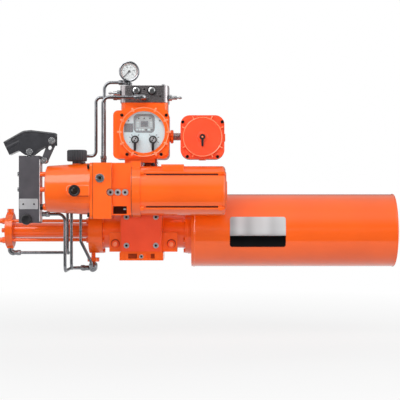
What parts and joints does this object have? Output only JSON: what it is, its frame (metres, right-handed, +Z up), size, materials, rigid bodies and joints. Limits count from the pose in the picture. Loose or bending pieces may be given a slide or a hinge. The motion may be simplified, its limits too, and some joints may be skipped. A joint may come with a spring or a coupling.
{
  "type": "quarter-turn valve actuator",
  "caption": "Electro-hydraulic spring-return scotch-yoke actuator with motor pump, hand pump, control head, junction box and spring can, for turning a quarter-turn valve.",
  "frame": {"origin": "centre of the face that bolts to the valve, on the drive axis", "axes": "+Z up the drive axis, +X along the spring can, -Y toward the control window"},
  "size_m": [1.306, 0.418, 0.683],
  "materials": {
    "orange_paint": "gloss",
    "cover_paint": "satin",
    "black_plastic": "satin",
    "black_paint": "satin",
    "anthracite_paint": "satin",
    "dark_steel": "satin",
    "zinc_steel": "bright",
    "stainless_tube": "bright",
    "chrome": "bright",
    "cast_iron": "machined",
    "bronze": "machined",
    "spring_steel": "oiled",
    "pale_plastic": "matt",
    "clear_glass": "clear"
  },
  "bodies": {
    "frame": {"yoke_housing": "orange_paint", "front_cover": "cover_paint", "stem_bushes": "bronze", "guide_bar": "zinc_steel", "hex_bolts": "zinc_steel", "cap_screws": "zinc_steel", "cylinder_head": "orange_paint", "cylinder_barrel": "orange_paint", "cylinder_end_cap": "orange_paint", "cylinder_tie_rods": "zinc_steel", "hex_plugs": "zinc_steel", "spring_can": "orange_paint", "spring_can_flange": "orange_paint", "manifold_block": "orange_paint", "reservoir": "orange_paint", "sight_glass": "black_plastic", "motor_adapter": "orange_paint", "motor_housing": "orange_paint", "motor_end_cover": "orange_paint", "motor_tie_bolts": "zinc_steel", "motor_stator": "cast_iron", "motor_bearings": "zinc_steel", "hand_pump_body": "anthracite_paint", "control_pedestal": "orange_paint", "control_housing": "orange_paint", "control_cover": "orange_paint", "glass_windows": "clear_glass", "control_panel": "pale_plastic", "conduit_nipple": "zinc_steel", "junction_box": "orange_paint", "junction_cover": "cover_paint", "top_manifold": "dark_steel", "manifold_caps": "chrome", "gauge_case": "chrome", "gauge_dial": "pale_plastic", "upper_tubes": "stainless_tube", "lower_tubes": "stainless_tube", "tube_fittings": "zinc_steel", "bleed_valves": "zinc_steel"},
    "yoke_body": {"yoke": "cast_iron", "feedback_shaft": "zinc_steel"},
    "drive_body": {"guide_block": "cast_iron", "drive_pin": "zinc_steel", "drive_rod": "zinc_steel", "piston": "cast_iron", "spring_plate": "cast_iron", "spring": "spring_steel"},
    "rotor_body": {"motor_rotor": "zinc_steel", "pump_drive_gear": "zinc_steel"},
    "idler_body": {"pump_idler_gear": "zinc_steel"},
    "cap_body": {"filler_cap": "black_plastic"},
    "link_body": {"hand_pump_link": "black_paint"},
    "lever_body": {"hand_pump_lever": "black_paint", "hand_pump_pins": "zinc_steel"},
    "plunger_body": {"hand_pump_piston": "zinc_steel"},
    "release_body": {"release_knob": "black_paint"},
    "left_selector_body": {"left_selector": "black_plastic"},
    "right_selector_body": {"right_selector": "black_plastic"},
    "switch_body": {"junction_switch": "black_plastic"},
    "pointer_body": {"gauge_pointer": "black_plastic"}
  },
  "joints": [
    {"name": "yoke_turn", "type": "hinge", "parent": "frame", "child": "yoke_body", "pos_m": [0, 0, 0.095], "axis": [0, 0, -1], "range_deg": [0, 90]},
    {"name": "drive_slide", "type": "slide", "parent": "frame", "child": "drive_body", "axis": [1, 0, 0], "range_m": [0, 0.09], "deforming": ["spring"]},
    {"name": "rotor_spin", "type": "hinge", "parent": "frame", "child": "rotor_body", "pos_m": [0, -0.164, 0.225], "axis": [1, 0, 0], "continuous": true},
    {"name": "idler_spin", "type": "hinge", "parent": "frame", "child": "idler_body", "pos_m": [-0.04, -0.164, 0.19296], "axis": [1, 0, 0], "continuous": true},
    {"name": "cap_turn", "type": "hinge", "parent": "frame", "child": "cap_body", "pos_m": [-0.199, -0.164, 0.32], "axis": [0, 0, 1], "range_deg": [0, 90]},
    {"name": "link_swing", "type": "hinge", "parent": "frame", "child": "link_body", "pos_m": [-0.301, -0.164, 0.321], "axis": [0, 1, 0], "range_deg": [0, 8.5]},
    {"name": "lever_pump", "type": "hinge", "parent": "link_body", "child": "lever_body", "pos_m": [-0.276, -0.164, 0.382], "axis": [0, 1, 0], "range_deg": [0, 35]},
    {"name": "plunger_slide", "type": "slide", "parent": "frame", "child": "plunger_body", "axis": [0, 0, 1], "range_m": [0, 0.0534]},
    {"name": "release_turn", "type": "hinge", "parent": "frame", "child": "release_body", "pos_m": [-0.353, -0.199, 0.135], "axis": [0, -1, 0], "range_deg": [0, 360]},
    {"name": "left_select", "type": "hinge", "parent": "frame", "child": "left_selector_body", "pos_m": [-0.0165, -0.15, 0.388], "axis": [0, -1, 0], "range_deg": [-40, 40]},
    {"name": "right_select", "type": "hinge", "parent": "frame", "child": "right_selector_body", "pos_m": [0.0405, -0.15, 0.388], "axis": [0, -1, 0], "range_deg": [-40, 40]},
    {"name": "junction_turn", "type": "hinge", "parent": "frame", "child": "switch_body", "pos_m": [0.198, -0.1, 0.399], "axis": [0, -1, 0], "range_deg": [0, 90]},
    {"name": "pointer_turn", "type": "hinge", "parent": "frame", "child": "pointer_body", "pos_m": [-0.037, -0.115, 0.608], "axis": [0, 1, 0], "range_deg": [0, 270]}
  ],
  "couplings": [
    {"joint": "yoke_turn", "follows": "drive_slide", "rad_per_m": 17.453},
    {"joint": "idler_spin", "follows": "rotor_spin", "ratio": -1},
    {"joint": "link_swing", "follows": "lever_pump", "ratio": 0.24},
    {"joint": "plunger_slide", "follows": "lever_pump", "m_per_rad": 0.08708}
  ]
}
